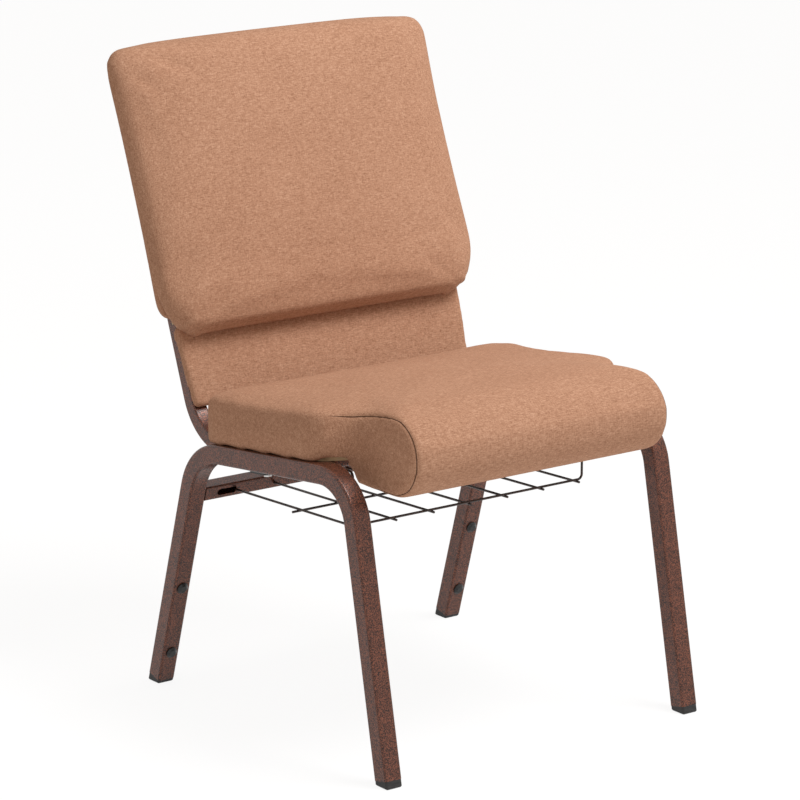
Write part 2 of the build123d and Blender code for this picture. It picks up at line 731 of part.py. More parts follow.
# Stacking bumpers: a coned button with a stem pushed into the rear leg's front face
for side_name, side in SIDES.items():
    for level_name, height in BUMPER_HEIGHTS.items():
        face = rear_leg_front(side * rail_x, height)
        section = Plane(origin=face.origin, x_dir=(1, 0, 0), z_dir=Vector(1, 0, 0).cross(face.z_dir))
        with BuildPart() as bumper:
            with BuildSketch(section):
                Polygon(
                    (0, -BUMPER_STEM_LENGTH),
                    (BUMPER_STEM / 2, -BUMPER_STEM_LENGTH),
                    (BUMPER_STEM / 2, 0),
                    (BUMPER / 2, 0),
                    (BUMPER / 2, BUMPER_RIM),
                    (BUMPER_TIP / 2, BUMPER_HEIGHT),
                    (0, BUMPER_HEIGHT),
                    align=None,
                )
            revolve(axis=Axis(face.origin, face.z_dir))
        save(bumper, f"{side_name}_{level_name}_bumper")

# Ganging link, its rivet and the stud on the other side
link_low = LINK_GAP + LINK_THICK
with BuildPart() as ganging_link:
    with BuildSketch(rail_under.offset(-LINK_GAP)):
        with Locations((-rail_x, LINK_PLACE + LINK_REACH / 2)):
            SlotCenterToCenter(LINK_REACH, LINK_WIDTH, rotation=90)
        with Locations((-rail_x, LINK_PLACE)):
            Circle(RIVET / 2 + RIVET_RUN, mode=Mode.SUBTRACT)
        with Locations((-rail_x, LINK_PLACE + LINK_REACH)):
            Circle(LINK_EYE / 2, mode=Mode.SUBTRACT)
    extrude(amount=-LINK_THICK)
save(ganging_link, "ganging_link")


def rail_pin(x, diameter, low, high, heads):
    """Round pin through a rail's lower wall, with heads given as (diameter, low, high) along it."""
    with BuildPart() as pin:
        for size, start, stop in [(diameter, low, high), *heads]:
            with BuildSketch(rail_under.offset(start)):
                with Locations((x, LINK_PLACE)):
                    Circle(size / 2)
            extrude(amount=stop - start)
    return pin


inner_head = TUBE_WALL + RIVET_HOLE_CLEARANCE
upset_head = (RIVET_HEAD, inner_head, inner_head + RIVET_HEAD_HEIGHT)
rivet_low = -link_low - LINK_GAP - RIVET_HEAD_HEIGHT
rivet_head = (RIVET_HEAD, rivet_low, rivet_low + RIVET_HEAD_HEIGHT)
save(rail_pin(-rail_x, RIVET, rivet_low, inner_head, [rivet_head, upset_head]), "ganging_rivet")

ganging_stud = rail_pin(rail_x, RIVET, -STUD_LENGTH, inner_head, [(STUD, -STUD_LENGTH, 0), upset_head])
with ganging_stud:
    chamfer(ganging_stud.edges().sort_by(Axis.Z)[0], STUD_TIP)
save(ganging_stud, "ganging_stud")
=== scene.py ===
"""Guest chair: upholstery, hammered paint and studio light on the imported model.

Metres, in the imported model's frame: +Z up, the chair faces -Y, and the left side is -X.
"""

import json
from math import cos, pi, radians, sin

import bmesh
import bpy
import numpy as np
from mathutils import Matrix, Vector
from mathutils.bvhtree import BVHTree


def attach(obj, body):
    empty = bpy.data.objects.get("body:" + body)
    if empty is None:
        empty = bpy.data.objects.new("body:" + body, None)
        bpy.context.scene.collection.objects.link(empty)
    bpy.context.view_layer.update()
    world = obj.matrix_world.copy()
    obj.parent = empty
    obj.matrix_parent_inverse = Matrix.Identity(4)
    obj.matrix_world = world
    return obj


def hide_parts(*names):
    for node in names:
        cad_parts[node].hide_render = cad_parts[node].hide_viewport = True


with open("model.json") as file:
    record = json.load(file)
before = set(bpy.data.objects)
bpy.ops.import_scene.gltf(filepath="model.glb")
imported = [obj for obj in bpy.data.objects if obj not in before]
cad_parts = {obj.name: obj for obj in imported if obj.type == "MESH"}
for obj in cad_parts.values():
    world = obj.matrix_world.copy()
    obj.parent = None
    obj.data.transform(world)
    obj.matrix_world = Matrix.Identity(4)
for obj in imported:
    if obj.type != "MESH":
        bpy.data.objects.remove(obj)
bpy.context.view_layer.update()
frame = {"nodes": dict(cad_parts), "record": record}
scene = bpy.context.scene

# Sizes shared with the CAD source
SEAT_PLANE_Z = 0.360976
RAIL_PITCH = radians(6.3)
ROLL_CENTRE = (-0.2639, 0.402)
ROLL_RADIUS = 0.053
SEAT_TOP_PITCH = radians(7.3)
SEAT_FRONT_HALF = 0.202
SEAT_REAR_HALF = 0.247
SEAT_TAPER = (-0.222, -0.14)
SEAT_BOARD_TOP = 0.0123
BACK_ORIGIN = (0.1696, 0.470)
RECLINE = radians(20.7)
BACK_BOARD_FRONT = 0.0093
UPRIGHT_X = 0.21
PAD_HALF = 0.238
PAD_DEPTH = 0.0615
PAD_NOSE = 0.085
PAD_NOSE_RADIUS = 0.096

# Cushion's look: each change, and the spans of y, x or height over which it sets in
SEAT_PLUMP = 0.005
SEAT_PLUMP_Y = (-0.06, 0.13)
SEAT_PLUMP_HEIGHT = (0.02, 0.045)
ROLL_FULLER = 0.016
ROLL_FULLER_START_Y = (-0.262, -0.214)
ROLL_FULLER_STOP_Y = (-0.19, -0.165)
ROLL_FULLER_DEPTH = (-0.004, 0.012)
SEAT_RIM = 0.0042
SEAT_RIM_Y = (-0.17, -0.14)
SEAT_RIM_X = (0.205, 0.225)
SEAT_RIM_HEIGHT = (0.004, 0.03)

# Seams of the cushion's side panels
SEAM_STEP = 0.0015
SEAM_UNDER_STEPS = 28
SEAM_ROUND_STEPS = 60
SEAM_TOP_STEPS = 60
SEAM_BELOW_TOP = 0.002
SEAM_PIN = 0.004
SEAM_DEPTH = 0.0013
SEAM_WIDTH = 0.0022
SEAM_TAIL_Y = (-0.155, -0.195)
# Radius of the dark tube along each seam, whose darkness is painted shade of the seam's groove
SEAM_SHADE_RADIUS = 0.0007
SEAM_SINK = 0.0001
SEAM_FADE_STEPS = 22
SEAM_END = 0.12
SEAM_EVENING = 3

# Upper pad's look: wider, flatter towards its sides, drawn in at the crease, with a blunt nose and a bowed top
PAD_FLARE = 0.060
PAD_FLARE_OUT = (0.0, 0.022)
PAD_TOP_FLARE = 0.010
PAD_TOP_FLARE_UP = (0.25, 0.36)
PAD_DRAW_TOP = 0.075
PAD_DRAW_RADIUS = 0.155
PAD_CROWN_KEPT = 0.4
PAD_FLAT = 0.08
PAD_THIN = 0.22
PAD_NOSE_DROP = 0.09
PAD_NOSE_SINK = 0.007
PAD_NOSE_FULL = 2.2
PAD_NOSE_LEAST = 0.004
PAD_TOP_RISE = 0.005
PAD_TOP_RISE_UP = (0.30, 0.375)

# Pulls and tucks at the ends of the crease: start and stop as (x, up), width and height
FOLDS = (
    ((0.231, 0.006), (0.198, 0.021), 0.0030, 0.0010),
    ((0.226, 0.001), (0.190, 0.011), 0.0026, -0.0013),
    ((0.236, 0.018), (0.205, 0.036), 0.0042, 0.0005),
)
FOLDS_OUT = (0.004, 0.012)

# Lumbar panel's look
LUMBAR_FILL = 1.02
LUMBAR_TUCK = 0.017
LUMBAR_TUCK_UP = (-0.03, -0.006)
LUMBAR_DROP = 0.015
LUMBAR_DROP_UP = (-0.078, -0.045)

# Soft pieces
SEAT_VOXEL = 0.0055
PAD_VOXEL = 0.005
LUMBAR_VOXEL = 0.004
WELD = 1e-5
SMOOTHING = 7
LUMBAR_SMOOTHING = 2
TAUT = 8
RELAX = 0.5
PRESSURE = 4.0
CLOTH_FRAMES = 20
HELD_OVER_BOARD = 0.003
HELD_OVER_RAIL = 0.004
HELD_INSIDE = 0.006
HELD_BACK = 0.004
HELD_TUBE_X = 0.016
HELD_TUBE_DEPTH = 0.0235

# Thin cloth: half of its width, where it starts and how far it runs, and how it lies
SHEET_THICK = 0.0005
DUST_HALF = 0.197
DUST_START = -0.108
DUST_RUN = 0.122
DUST_BELOW = 0.0004
DUST_SAG = 0.0009
DUST_PUCKER = 0.00012
DUST_PUCKERS = 46
WRAP_HALF = 0.1985
WRAP_START = -0.0755
WRAP_RUN = 0.09
WRAP_BEHIND = 0.0006
WRAP_BOW = 0.0003

# Camera and studio
CAMERA_PLACE = (-3.008396, -4.038085, 1.698346)
CAMERA_FORWARD = (0.57941, 0.77508, -0.25207)
CAMERA_ROLL = radians(0.145)
AMBIENT = 0.42
WARM = (1.0, 0.9, 0.81)
FLOOR_SIZE = 30.0
FLOOR_Z = -0.0003
FLOOR_COLOUR = (0.92, 0.92, 0.92, 1)
FLOOR_GLOW = 1.07
FLOOR_LIFT = 0.85


# Material helpers
def node(tree, kind, settings=None, **values):
    """New shader node with its settings and the values of its sockets."""
    made = tree.nodes.new(kind)
    for key, value in (settings or {}).items():
        setattr(made, key, value)
    for key, value in values.items():
        made.inputs[key].default_value = value
    return made


def new_material(name, **values):
    """Material with a Principled shader, and its tree and shader."""
    material = bpy.data.materials.new(name)
    material.use_nodes = True
    tree = material.node_tree
    shader = tree.nodes["Principled BSDF"]
    for key, value in values.items():
        shader.inputs[key.replace("_", " ")].default_value = value
    return material, tree, shader


def place(tree, scale):
    """Coordinates on the object, scaled along each axis."""
    found = node(tree, "ShaderNodeTexCoord")
    mapping = node(tree, "ShaderNodeMapping", Scale=scale)
    tree.links.new(found.outputs["Object"], mapping.inputs["Vector"])
    return mapping.outputs["Vector"]


def grain(tree, scale, detail, rough):
    """Noise of a size given in waves per metre along each axis."""
    texture = node(tree, "ShaderNodeTexNoise", Scale=1.0, Detail=detail, Roughness=rough)
    tree.links.new(place(tree, scale), texture.inputs["Vector"])
    return texture.outputs["Fac"]


def cells(tree, size):
    """Distance to the nearest of points scattered a size apart."""
    texture = node(tree, "ShaderNodeTexVoronoi", Scale=1.0)
    tree.links.new(place(tree, (1 / size,) * 3), texture.inputs["Vector"])
    return texture.outputs["Distance"]


def threads(tree, direction, pitch):
    """Parallel threads at a pitch, across a direction."""
    settings = {"bands_direction": direction}
    texture = node(tree, "ShaderNodeTexWave", settings, Scale=pi / 10 / pitch, Distortion=0.6)
    tree.links.new(place(tree, (1, 1, 1)), texture.inputs["Vector"])
    return texture.outputs["Fac"]


def joined(tree, operation, first, second):
    """Two values or sockets joined by an operation."""
    made = node(tree, "ShaderNodeMath", {"operation": operation})
    for socket, value in zip(made.inputs, (first, second)):
        if isinstance(value, (int, float)):
            socket.default_value = value
        else:
            tree.links.new(value, socket)
    return made.outputs[0]


def blended(tree, parts):
    """Sum of sockets, each with its share."""
    total = None
    for socket, share in parts:
        scaled = joined(tree, "MULTIPLY", socket, share)
        total = scaled if total is None else joined(tree, "ADD", total, scaled)
    return total


def ramp(tree, socket, stops):
    """Colour ramp through stops of (place, colour)."""
    made = node(tree, "ShaderNodeValToRGB")
    elements = made.color_ramp.elements
    while len(elements) < len(stops):
        elements.new(0.5)
    for element, (at, colour) in zip(elements, stops):
        element.position = at
        element.color = (*colour, 1.0)
    tree.links.new(socket, made.inputs["Fac"])
    return made.outputs["Color"]


def level(tree, socket, low, high, start, stop):
    """Value mapped from one span to another, held at its ends."""
    made = node(tree, "ShaderNodeMapRange")
    for key, value in zip(("From Min", "From Max", "To Min", "To Max"), (low, high, start, stop)):
        made.inputs[key].default_value = value
    tree.links.new(socket, made.inputs["Value"])
    return made.outputs["Result"]


def bump(tree, shader, height, distance, strength):
    """Relief of a height in metres on the shader's normal."""
    made = node(tree, "ShaderNodeBump", Distance=distance, Strength=strength)
    tree.links.new(height, made.inputs["Height"])
    tree.links.new(made.outputs["Normal"], shader.inputs["Normal"])


# Materials, one for each slot of the record
def tweed(name, shade=1.0):
    """Heathered tan weave: weft streaks over warp flecks, a fine thread relief and a soft sheen."""
    material, tree, shader = new_material(
        name,
        Roughness=0.92,
        Specular_IOR_Level=0.06,
        Sheen_Weight=0.06,
        Sheen_Roughness=0.45,
        Sheen_Tint=(0.95, 0.78, 0.66, 1.0),
    )
    weft = grain(tree, (140, 880, 880), 3.0, 0.7)
    warp = grain(tree, (880, 160, 160), 3.0, 0.7)
    nubs = grain(tree, (480, 480, 480), 3.0, 0.7)
    cloud = grain(tree, (11, 11, 11), 2.0, 0.5)
    heather = blended(tree, [(weft, 0.46), (warp, 0.26), (nubs, 0.28)])
    tone = blended(tree, [(heather, 0.95), (cloud, 0.05)])
    colours = [(0.37, (0.30, 0.148, 0.088)), (0.5, (0.485, 0.262, 0.166)), (0.63, (0.66, 0.40, 0.276))]
    stops = [(at, tuple(shade * c for c in colour)) for at, colour in colours]
    tree.links.new(ramp(tree, tone, stops), shader.inputs["Base Color"])
    crossed = [(threads(tree, direction, 0.0015), 0.3) for direction in ("X", "Z")]
    bump(tree, shader, blended(tree, [*crossed, (heather, 1.2)]), 0.00035, 0.55)
    return material


def hammered_paint(name, dark, vein, speck, gloss):
    """Powder coat with a metal vein between dark pits, and the dimpled surface that comes with it."""
    material, tree, shader = new_material(
        name, Specular_IOR_Level=0.25, Coat_Weight=0.3, Coat_Roughness=0.2
    )
    pits = cells(tree, speck)
    flecks = grain(tree, (760, 760, 760), 2.0, 0.6)
    drift = grain(tree, (55, 55, 55), 2.0, 0.5)
    mask = blended(tree, [(flecks, 0.8), (pits, 0.3), (drift, 0.08)])
    stops = [(0.48, dark), (0.59, tuple((d + v) / 2.8 for d, v in zip(dark, vein))), (0.7, vein)]
    tree.links.new(ramp(tree, mask, stops), shader.inputs["Base Color"])
    tree.links.new(level(tree, mask, 0.5, 0.72, 0.0, 0.45), shader.inputs["Metallic"])
    rough = level(tree, flecks, 0.35, 0.65, gloss + 0.08, gloss - 0.06)
    tree.links.new(rough, shader.inputs["Roughness"])
    bump(tree, shader, blended(tree, [(pits, 0.6), (flecks, 0.8)]), 0.0003, 0.6)
    return material


def plywood():
    """Raw birch-like plies with a long grain."""
    material, tree, shader = new_material("plywood", Roughness=0.7, Specular_IOR_Level=0.25)
    fibre = grain(tree, (9, 160, 900), 5.0, 0.65)
    figure = grain(tree, (3, 26, 26), 3.0, 0.6)
    tone = blended(tree, [(fibre, 0.6), (figure, 0.4)])
    stops = [(0.3, (0.36, 0.23, 0.12)), (0.5, (0.55, 0.40, 0.24)), (0.7, (0.68, 0.54, 0.36))]
    tree.links.new(ramp(tree, tone, stops), shader.inputs["Base Color"])
    bump(tree, shader, fibre, 0.0003, 0.4)
    return material


def dust_cloth():
    """Thin black non-woven cloth with matted fibres and spot bonds."""
    material, tree, shader = new_material("dust_cloth", Roughness=0.95, Specular_IOR_Level=0.15)
    fibres = grain(tree, (900, 180, 900), 4.0, 0.7)
    bonds = cells(tree, 0.0024)
    stops = [(0.35, (0.012, 0.012, 0.013)), (0.65, (0.04, 0.039, 0.04))]
    tree.links.new(ramp(tree, fibres, stops), shader.inputs["Base Color"])
    bump(tree, shader, blended(tree, [(fibres, 0.5), (bonds, 0.6)]), 0.0003, 0.5)
    return material


def zinc_steel():
    """Bright zinc plate with faint spangle and rubbed marks."""
    material, tree, shader = new_material("zinc_steel", Metallic=1.0)
    spangle = cells(tree, 0.004)
    marks = grain(tree, (60, 900, 400), 4.0, 0.7)
    stops = [(0.2, (0.5, 0.5, 0.49)), (0.7, (0.68, 0.68, 0.66))]
    tree.links.new(ramp(tree, spangle, stops), shader.inputs["Base Color"])
    tree.links.new(level(tree, marks, 0.3, 0.7, 0.24, 0.42), shader.inputs["Roughness"])
    bump(tree, shader, marks, 0.0001, 0.3)
    return material


def moulded(name, colour, rough, dust):
    """Moulded plastic, rubber or plain paint with a fine grain, scuffs and a trace of dust."""
    material, tree, shader = new_material(name, Specular_IOR_Level=0.4)
    fine = grain(tree, (1500, 1500, 1500), 2.0, 0.6)
    scuffs = grain(tree, (90, 240, 500), 4.0, 0.7)
    stops = [(0.4, colour), (0.62, tuple(c + dust for c in colour))]
    tree.links.new(ramp(tree, scuffs, stops), shader.inputs["Base Color"])
    tree.links.new(level(tree, scuffs, 0.35, 0.7, rough, rough + 0.15), shader.inputs["Roughness"])
    bump(tree, shader, fine, 0.0002, 0.35)
    return material


materials = {
    "frame_paint": hammered_paint(
        "frame_paint", (0.0075, 0.0022, 0.0011), (0.245, 0.084, 0.049), speck=0.0014, gloss=0.32
    ),
    "rack_paint": hammered_paint(
        "rack_paint", (0.011, 0.008, 0.0075), (0.09, 0.055, 0.045), speck=0.0012, gloss=0.42
    ),
    "upholstery": tweed("upholstery"),
    "plywood": plywood(),
    "dust_cloth": dust_cloth(),
    "zinc_steel": zinc_steel(),
    "glide_plastic": moulded("glide_plastic", (0.014, 0.013, 0.013), rough=0.5, dust=0.02),
    "bumper_rubber": moulded("bumper_rubber", (0.010, 0.010, 0.010), rough=0.26, dust=0.012),
    "link_paint": moulded("link_paint", (0.012, 0.011, 0.011), rough=0.32, dust=0.012),
}
# Darkened copy of the upholstery for the tube along each seam: painted shade of the seam's groove
seam_shade_material = tweed("seam_painted_shade", shade=0.24)

for subpart in frame["record"]["subparts"]:
    piece = frame["nodes"][subpart["node"]]
    finish = materials[subpart["material_slot"]]
    if not piece.material_slots:
        piece.data.materials.append(finish)
    for material_slot in piece.material_slots:
        material_slot.material = finish


# Frames of reference on the seat and the back
def seat_height(points):
    """Height of points over the plane that the seat rests on."""
    return points[:, 1] * sin(RAIL_PITCH) + (points[:, 2] - SEAT_PLANE_Z) * cos(RAIL_PITCH)


def back_local(points):
    """Points as x, up along the back from the crease, and forward from the uprights."""
    y = points[:, 1] - BACK_ORIGIN[0]
    z = points[:, 2] - BACK_ORIGIN[1]
    up = y * sin(RECLINE) + z * cos(RECLINE)
    out = -y * cos(RECLINE) + z * sin(RECLINE)
    return points[:, 0], up, out


def back_world(x, up, out):
    """Point on the back from its own coordinates."""
    y = BACK_ORIGIN[0] + up * sin(RECLINE) - out * cos(RECLINE)
    z = BACK_ORIGIN[1] + up * cos(RECLINE) + out * sin(RECLINE)
    return Vector((x, y, z))


def roll_world(x, along, above):
    """Point near the seat's front from its place along the top's slope and above the roll's centre."""
    y = ROLL_CENTRE[0] + along * cos(SEAT_TOP_PITCH) + above * sin(SEAT_TOP_PITCH)
    z = ROLL_CENTRE[1] - along * sin(SEAT_TOP_PITCH) + above * cos(SEAT_TOP_PITCH)
    return Vector((x, y, z))


def smooth_step(value, start, stop):
    """Rise from 0 to 1 between start and stop."""
    share = np.clip((value - start) / (stop - start), 0, 1)
    return share * share * (3 - 2 * share)


# Mesh helpers
def get(mesh, attribute):
    """A vertex attribute of three numbers as an array."""
    values = np.empty(len(mesh.vertices) * 3)
    mesh.vertices.foreach_get(attribute, values)
    return values.reshape(-1, 3)


def move(mesh, points):
    """Writes the places of a mesh's vertices."""
    mesh.vertices.foreach_set("co", points.ravel())
    mesh.update()


def applied(piece):
    """Replaces a piece's mesh by what its modifiers make of it."""
    made = bpy.data.meshes.new_from_object(piece.evaluated_get(bpy.context.evaluated_depsgraph_get()))
    old = piece.data
    piece.modifiers.clear()
    piece.data = made
    bpy.data.meshes.remove(old)


def new_piece(name, mesh, material):
    """Piece of a mesh and a material that rides on the chair."""
    piece = bpy.data.objects.new(name, mesh)
    scene.collection.objects.link(piece)
    mesh.materials.clear()
    mesh.materials.append(material)
    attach(piece, "chair")
    return piece


def built(name, work, material):
    """Piece made from a bmesh, with its faces turned outward."""
    bmesh.ops.recalc_face_normals(work, faces=work.faces)
    mesh = bpy.data.meshes.new(name)
    work.to_mesh(mesh)
    work.free()
    return new_piece(name, mesh, material)


def finished(piece):
    """Smooth shading for a piece."""
    piece.data.polygons.foreach_set("use_smooth", [True] * len(piece.data.polygons))
    piece.data.update()


def row_copy(source):
    """Copy of a CAD node's mesh in the row frame."""
    mesh = source.data.copy()
    mesh.transform(source.matrix_world)
    return mesh


def welded_copy(source):
    """Copy of a CAD node's mesh with its split corners joined."""
    mesh = row_copy(source)
    work = bmesh.new()
    work.from_mesh(mesh)
    bmesh.ops.remove_doubles(work, verts=work.verts, dist=WELD)
    work.to_mesh(mesh)
    work.free()
    return mesh


def hull_copy(source):
    """Closed outer form of a CAD node, without what is cut out of its rear."""
    mesh = row_copy(source)
    work = bmesh.new()
    for spot in get(mesh, "co"):
        work.verts.new(spot)
    found = bmesh.ops.convex_hull(work, input=work.verts)
    bmesh.ops.delete(work, geom=found["geom_interior"], context="VERTS")
    bmesh.ops.recalc_face_normals(work, faces=work.faces)
    mesh.clear_geometry()
    work.to_mesh(mesh)
    work.free()
    return mesh


def inflate(piece, held, cap):
    """Cloth under pressure, held where the mask says, with every point's movement capped."""
    start = get(piece.data, "co")
    group = piece.vertex_groups.new(name="held")
    group.add([int(i) for i in np.flatnonzero(held)], 1.0, "REPLACE")
    cloth = piece.modifiers.new("cloth", "CLOTH")
    settings = cloth.settings
    settings.quality = 5
    settings.mass = 0.3
    settings.tension_stiffness = 40
    settings.compression_stiffness = 40
    settings.shear_stiffness = 20
    settings.bending_stiffness = 5
    settings.use_pressure = True
    settings.uniform_pressure_force = PRESSURE
    settings.vertex_group_mass = "held"
    settings.effector_weights.gravity = 0
    cloth.collision_settings.use_collision = False
    for step in range(1, CLOTH_FRAMES + 1):
        scene.frame_set(step)
    applied(piece)
    scene.frame_set(1)
    shift = get(piece.data, "co") - start
    length = np.linalg.norm(shift, axis=1, keepdims=True)
    move(piece.data, start + shift * np.minimum(1, cap / np.maximum(length, 1e-9)))
    piece.vertex_groups.clear()


def smoothed(piece, name, passes):
    """Adds a smoothing modifier of a number of passes."""
    relax = piece.modifiers.new(name, "SMOOTH")
    relax.factor = RELAX
    relax.iterations = passes


def soft_form(name, source, voxel, held, cap, start=welded_copy, shape=None, smoothing=SMOOTHING):
    """Cover that stands for a soft CAD node: remeshed, shaped, swelled as cloth, smoothed and subdivided."""
    piece = new_piece(name, start(frame["nodes"][source]), materials["upholstery"])
    remesh = piece.modifiers.new("remesh", "REMESH")
    remesh.mode = "VOXEL"
    remesh.voxel_size = voxel
    smoothed(piece, "relax", smoothing)
    applied(piece)
    if shape:
        move(piece.data, shape(get(piece.data, "co")))
    inflate(piece, held(get(piece.data, "co")), cap)
    smoothed(piece, "taut", min(TAUT, smoothing))
    divide = piece.modifiers.new("divide", "SUBSURF")
    divide.levels = 1
    divide.render_levels = 1
    applied(piece)
    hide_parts(source)
    return piece


def distance_to(points, line):
    """Distance from each point to the nearest point of a line of close points."""
    near = np.full(len(points), np.inf)
    for spot in line:
        near = np.minimum(near, np.linalg.norm(points - np.array(spot), axis=1))
    return near


def snapped(piece, line, sink):
    """Line laid on a piece's surface, sunk into it a little and evened out."""
    corners = [v.co for v in piece.data.vertices]
    tree = BVHTree.FromPolygons(corners, [p.vertices for p in piece.data.polygons])
    laid = []
    for spot in line:
        found, normal, *_ = tree.find_nearest(spot)
        laid.append(found - normal * sink)
    for _ in range(SEAM_EVENING):
        middle = [(a + b * 2 + c) / 4 for a, b, c in zip(laid, laid[1:], laid[2:])]
        laid = [laid[0], *middle, laid[-1]]
    return laid


def tube(name, line, radii, material, sides=8):
    """Closed tube along a line of points, with a radius at each point."""
    off_line = Vector((0.31, 0.87, 0.39))
    work = bmesh.new()
    rings = []
    for index, spot in enumerate(line):
        ahead = line[min(index + 1, len(line) - 1)] - line[max(index - 1, 0)]
        across = ahead.cross(off_line).normalized()
        over = ahead.cross(across).normalized()
        ring = []
        for side in range(sides):
            angle = 2 * pi * side / sides
            ring.append(work.verts.new(spot + (across * cos(angle) + over * sin(angle)) * radii[index]))
        rings.append(ring)
    for first, second in zip(rings, rings[1:]):
        for side in range(sides):
            after = (side + 1) % sides
            work.faces.new((first[side], first[after], second[after], second[side]))
    work.faces.new(list(reversed(rings[0])))
    work.faces.new(rings[-1])
    return built(name, work, material)


# Seat
def seat_half(y):
    """Half of the seat's width at y."""
    return SEAT_FRONT_HALF + (SEAT_REAR_HALF - SEAT_FRONT_HALF) * smooth_step(y, *SEAT_TAPER)


def seam_line(side):
    """Seam of a side panel: from under the front roll, round its end, and back along the top's edge."""
    x = side * SEAT_FRONT_HALF
    line = []
    for step in range(SEAM_UNDER_STEPS):
        line.append(roll_world(x, (SEAM_UNDER_STEPS - step) * SEAM_STEP, -ROLL_RADIUS))
    for step in range(SEAM_ROUND_STEPS + 1):
        angle = pi * step / SEAM_ROUND_STEPS
        line.append(roll_world(x, -ROLL_RADIUS * sin(angle), -ROLL_RADIUS * cos(angle)))
    for step in range(1, SEAM_TOP_STEPS):
        spot = roll_world(0, step * SEAM_STEP, ROLL_RADIUS - SEAM_BELOW_TOP)
        line.append(Vector((side * seat_half(spot.y), spot.y, spot.z)))
    return line


def seat_form(points):
    """Cushion plump at the rear, its roll fuller rearward below, its rim drawn down over the board."""
    y, height = points[:, 1], seat_height(points)
    rim = (1 - smooth_step(height, *SEAT_RIM_HEIGHT)) * smooth_step(y, *SEAT_RIM_Y)
    rim *= smooth_step(np.abs(points[:, 0]), *SEAT_RIM_X)
    plump = smooth_step(y, *SEAT_PLUMP_Y) * smooth_step(height, *SEAT_PLUMP_HEIGHT)
    fuller = smooth_step(y, *ROLL_FULLER_START_Y) * (1 - smooth_step(y, *ROLL_FULLER_STOP_Y))
    fuller *= smooth_step(-height, *ROLL_FULLER_DEPTH)
    return points + np.stack([0 * y, ROLL_FULLER * fuller, SEAT_PLUMP * plump - SEAT_RIM * rim], axis=1)


def seat_held(points):
    """Where the cushion is held: at the board and the rails, and along its seams."""
    near = np.minimum(*(distance_to(points, seam_line(side)) for side in (-1, 1)))
    height = seat_height(points)
    low = height < SEAT_BOARD_TOP + HELD_OVER_BOARD
    inside = np.abs(points[:, 0]) < SEAT_REAR_HALF - HELD_INSIDE
    return (low & inside) | (height < HELD_OVER_RAIL) | (near < SEAM_PIN)


seat_cover = soft_form(
    "seat_cover", "seat_cushion", SEAT_VOXEL, seat_held, cap=0.0025, shape=seat_form
)
for side_name, side in (("left", -1), ("right", 1)):
    line = snapped(seat_cover, seam_line(side), 0.0)
    points = get(seat_cover.data, "co")
    depth = SEAM_DEPTH * np.exp(-((distance_to(points, line) / SEAM_WIDTH) ** 2))
    tail = smooth_step(points[:, 1], *SEAM_TAIL_Y)
    move(seat_cover.data, points - get(seat_cover.data, "normal") * (depth * tail)[:, None])
    # Dark tube along the seam, sunk into its groove and thinning towards its end: painted shade
    thread = snapped(seat_cover, line, SEAM_SINK)
    steps_left = range(len(thread), 0, -1)
    radii = [SEAM_SHADE_RADIUS * min(1, steps / SEAM_FADE_STEPS + SEAM_END) for steps in steps_left]
    seam = tube(f"seat_seam_shade_{side_name}", thread, radii, seam_shade_material)
    finished(seam)
finished(seat_cover)


# Back
def back_held(points):
    """Where a front pad is held: on the uprights' plane and round the board."""
    return back_local(points)[2] < BACK_BOARD_FRONT + HELD_BACK


def rear_held(points):
    """Where the rear pad is held: on the uprights' plane and round the tubes."""
    x, up, out = back_local(points)
    at_tube = np.abs(np.abs(x) - UPRIGHT_X) < HELD_TUBE_X
    return (out > -HELD_BACK) | (at_tube & (out > -HELD_TUBE_DEPTH))


def folds(points):
    """Height of the small pulls and tucks where the upper pad is drawn in at the ends of its crease."""
    x, up, out = back_local(points)
    spot = np.stack([np.abs(x), up], axis=1)
    height = np.zeros(len(points))
    for start, stop, width, rise in FOLDS:
        a, b = np.array(start), np.array(stop)
        share = np.clip(((spot - a) @ (b - a)) / ((b - a) @ (b - a)), 0, 1)
        near = np.linalg.norm(spot - a - share[:, None] * (b - a), axis=1)
        height += rise * np.exp(-((near / width) ** 2)) * (1 - share**2)
    return height * smooth_step(out, *FOLDS_OUT)


def pad_form(points):
    """Upper pad as its cover pulls it: flared, flatter at its sides, drawn in at the crease, bowed on top."""
    x, up, out = back_local(points)
    share = np.abs(x) / PAD_HALF
    drop = np.clip(PAD_DRAW_TOP - up, 0, PAD_DRAW_TOP)
    drawn = PAD_DRAW_RADIUS - np.sqrt(PAD_DRAW_RADIUS**2 - drop**2)
    flare = PAD_FLARE * smooth_step(out, *PAD_FLARE_OUT)
    flare += PAD_TOP_FLARE * smooth_step(up, *PAD_TOP_FLARE_UP)
    wide = x * (1 + flare) - np.sign(x) * drawn * share**3
    thin = np.where(out > PAD_DEPTH, PAD_DEPTH + PAD_CROWN_KEPT * (out - PAD_DEPTH), out)
    thin *= 1 - PAD_FLAT - PAD_THIN * np.minimum(share, 1) ** 6
    below = np.clip(PAD_NOSE - up, 0, PAD_NOSE_DROP)
    fall = below / PAD_NOSE_DROP
    blunt = PAD_DEPTH * (1 - fall**4) ** (1 / 4)
    solid = PAD_DEPTH - PAD_NOSE_RADIUS + np.sqrt(PAD_NOSE_RADIUS**2 - below**2)
    thin *= np.clip(blunt / np.maximum(solid, PAD_NOSE_LEAST), 1, PAD_NOSE_FULL)
    tall = up + PAD_TOP_RISE * (1 - np.minimum(share, 1) ** 2) * smooth_step(up, *PAD_TOP_RISE_UP)
    tall -= PAD_NOSE_SINK * fall**2
    return np.array([back_world(*spot) for spot in zip(wide, tall, thin)])


def lumbar_form(points):
    """Lumbar panel a little wider, drawn up under the upper pad's nose, and down behind the cushion."""
    x, up, out = back_local(points)
    tall = up + LUMBAR_TUCK * smooth_step(up, *LUMBAR_TUCK_UP)
    tall -= LUMBAR_DROP * (1 - smooth_step(up, *LUMBAR_DROP_UP))
    return np.array([back_world(*spot) for spot in zip(x * LUMBAR_FILL, tall, out)])


